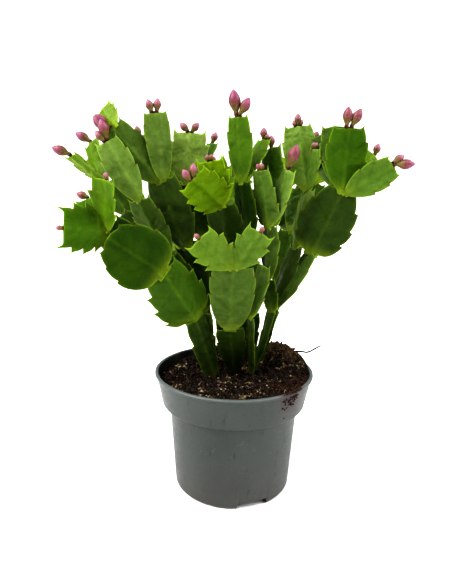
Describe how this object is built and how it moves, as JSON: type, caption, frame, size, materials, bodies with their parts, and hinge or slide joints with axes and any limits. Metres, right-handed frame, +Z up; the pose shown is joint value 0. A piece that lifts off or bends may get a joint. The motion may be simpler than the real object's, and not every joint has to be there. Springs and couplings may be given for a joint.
{
  "type": "potted christmas cactus",
  "caption": "Round tapered plastic grower pot of soil with branching stems of flat toothed cactus segments that end in pointed flower buds.",
  "frame": {"origin": "on the pot's axis, in the plane of the ring that the pot stands on, at the middle of the flat pad under its floor", "axes": "+Z up along the pot's axis, +X to the right and -Y towards the viewer of the plant's fuller side"},
  "size_m": [0.2383, 0.1994, 0.2899],
  "materials": {
    "pot": "satin grey",
    "soil": "dark brown peat, matte",
    "twig": "dry brown root, matte",
    "stem": "waxy green leaf skin",
    "bud": "soft pink petals"
  },
  "bodies": {
    "root": {"pot": "pot", "soil": "soil", "root_twig": "twig", "stem_front_left": "stem", "buds_a5": "bud", "buds_a6": "bud", "buds_a7": "bud", "stem_left": "stem", "buds_b4": "bud", "buds_b5": "bud", "buds_b6": "bud", "buds_c3": "bud", "buds_c6": "bud", "buds_c7": "bud", "stem_centre": "stem", "buds_d4": "bud", "buds_d5": "bud", "buds_d8": "bud", "buds_d9": "bud", "stem_front": "stem", "buds_h3": "bud", "buds_h4": "bud", "stem_middle": "stem", "buds_e4": "bud", "buds_e5": "bud", "stem_front_right": "stem", "stem_right_centre": "stem", "buds_f4": "bud", "buds_f5": "bud", "buds_f6": "bud", "stem_right": "stem", "buds_g4": "bud", "buds_g5": "bud", "buds_g6": "bud", "buds_m3": "bud", "buds_m4": "bud", "stem_back_right": "stem", "buds_k4": "bud", "buds_k5": "bud", "buds_k7": "bud", "stem_back_left": "stem", "buds_l4": "bud", "buds_l5": "bud", "buds_l7": "bud", "stem_back": "stem", "buds_n4": "bud", "buds_n5": "bud", "buds_n7": "bud"}
  },
  "joints": []
}
